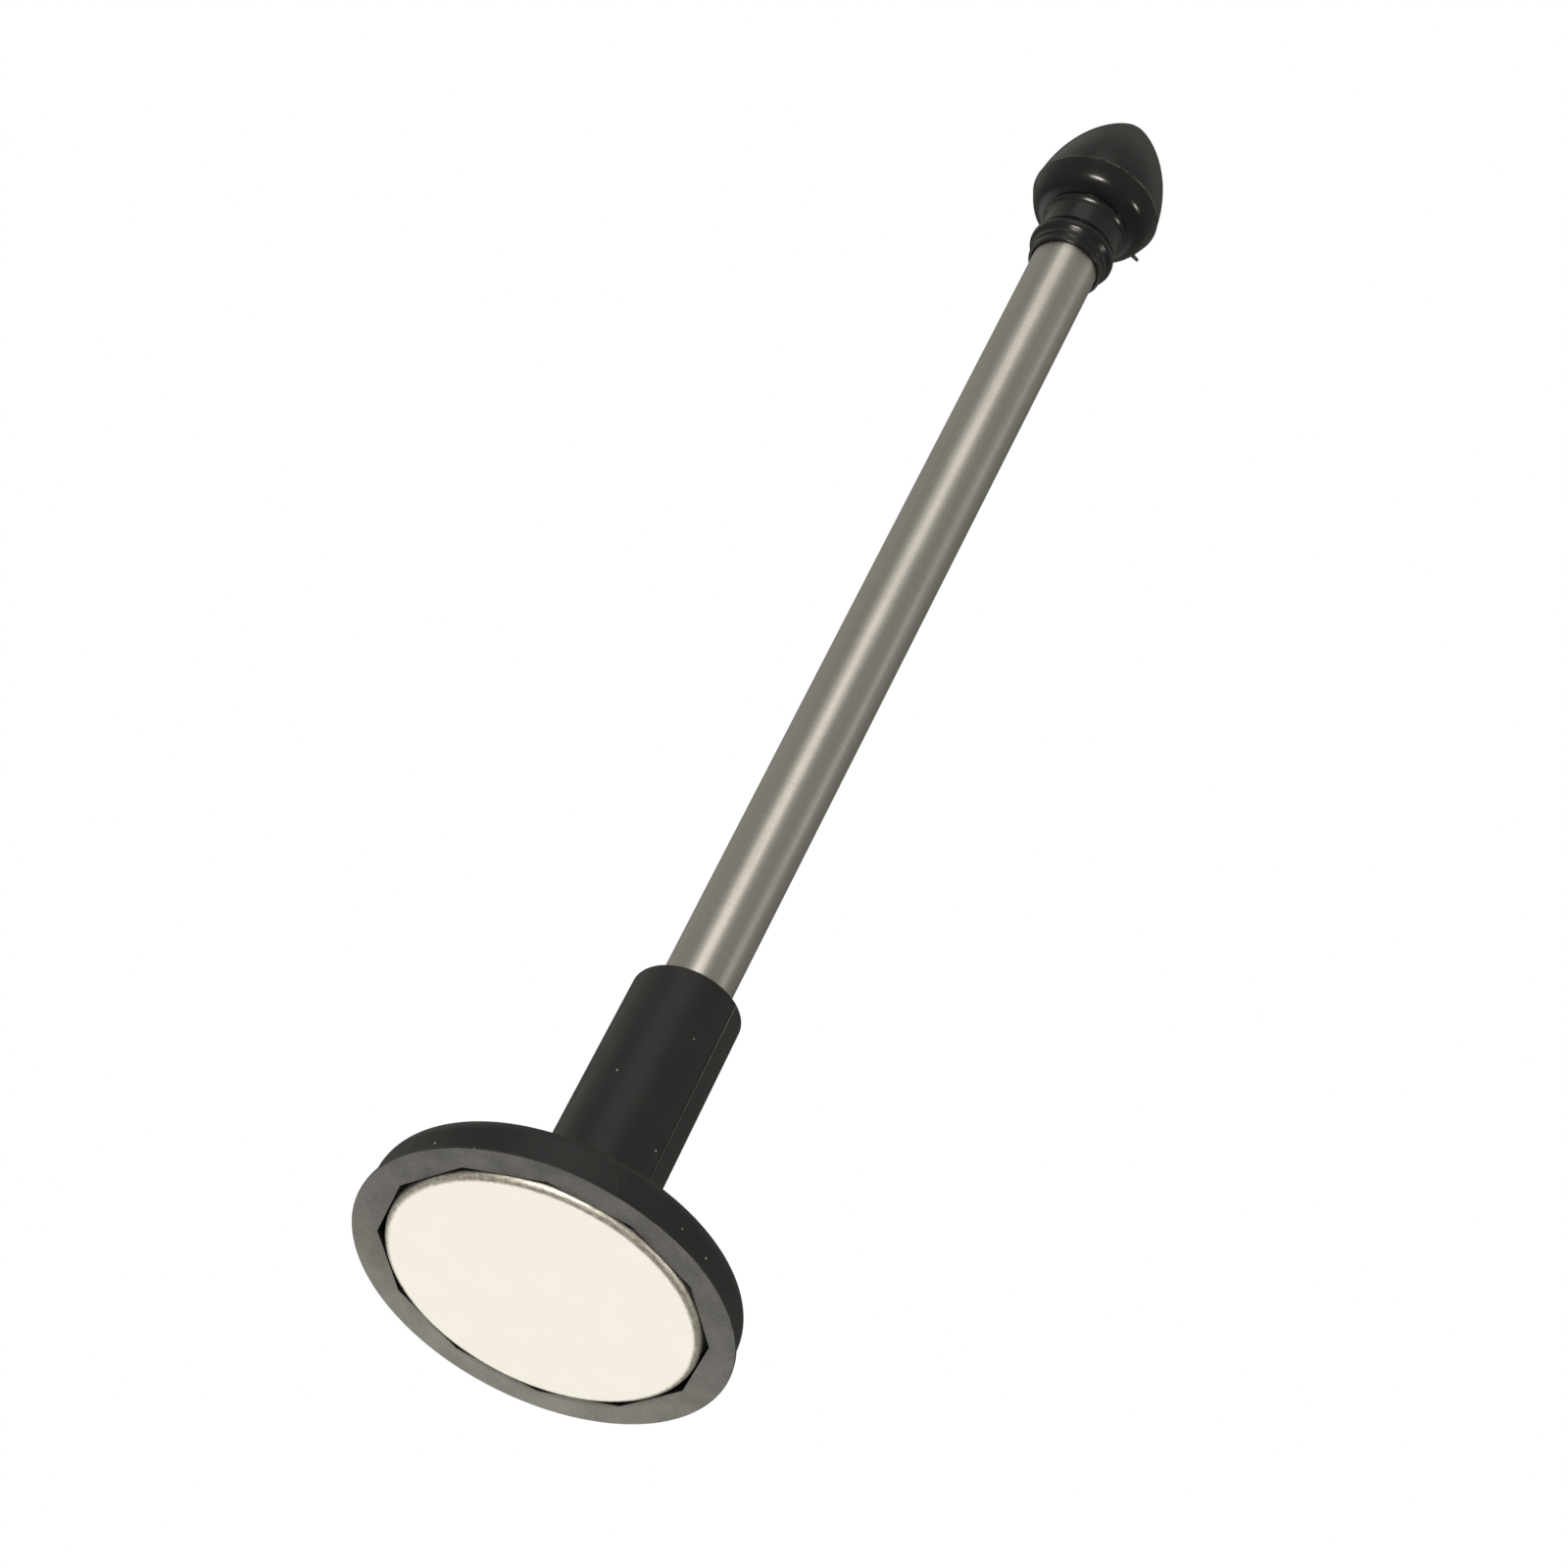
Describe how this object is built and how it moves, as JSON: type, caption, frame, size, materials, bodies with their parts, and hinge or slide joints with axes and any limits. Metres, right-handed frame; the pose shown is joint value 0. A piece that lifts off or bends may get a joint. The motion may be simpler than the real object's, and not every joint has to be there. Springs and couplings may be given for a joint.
{
  "type": "telescoping magnetic alignment rod",
  "caption": "Slim telescopic steel rod with a round magnet in a flanged black cup at one end and an egg-shaped pull knob at the other; it sticks to steel and points square off its face.",
  "frame": {"origin": "centre of the magnet's flat face, which the rod stands on (bottom centre of the bounding box)", "axes": "+Z along the rod, from the magnet's face towards the knob, and the axis of every tube; X and Y lie in the magnet's face"},
  "size_m": [0.032, 0.032, 0.1407],
  "materials": {
    "cup_plastic": "moulded black plastic, semi-gloss sides and a matt front lip with light scuffs",
    "knob_plastic": "moulded black plastic, polished",
    "nickel_plate": "bright warm nickel plating with a rounded edge",
    "stainless_steel": "drawn stainless tube, polished along its length with fine drawing lines",
    "brass": "plain turned brass",
    "spring_bronze": "rolled phosphor bronze strip",
    "adhesive": "cured adhesive film"
  },
  "bodies": {
    "base": {"base_cup": "cup_plastic", "magnet_disc": "nickel_plate", "magnet_adhesive": "adhesive", "outer_tube": "stainless_steel", "outer_tube_plug": "brass"},
    "middle_section_1": {"middle_tube_1": "stainless_steel", "middle_1_stop_bush": "brass", "middle_1_spring_left": "spring_bronze", "middle_1_spring_right": "spring_bronze"},
    "middle_section_2": {"middle_tube_2": "stainless_steel", "middle_2_stop_bush": "brass", "middle_2_spring_left": "spring_bronze", "middle_2_spring_right": "spring_bronze"},
    "tip_section": {"tip_tube": "stainless_steel", "tip_stop_bush": "brass", "tip_spring_left": "spring_bronze", "tip_spring_right": "spring_bronze", "tip_ferrule": "brass", "tip_knob": "knob_plastic"}
  },
  "joints": [
    {"name": "middle_1_slide", "type": "slide", "parent": "base", "child": "middle_section_1", "axis": [0, 0, 1], "range_m": [0, 0.0981]},
    {"name": "middle_2_slide", "type": "slide", "parent": "middle_section_1", "child": "middle_section_2", "axis": [0, 0, 1], "range_m": [0, 0.0981]},
    {"name": "tip_slide", "type": "slide", "parent": "middle_section_2", "child": "tip_section", "axis": [0, 0, 1], "range_m": [0, 0.0981]}
  ]
}
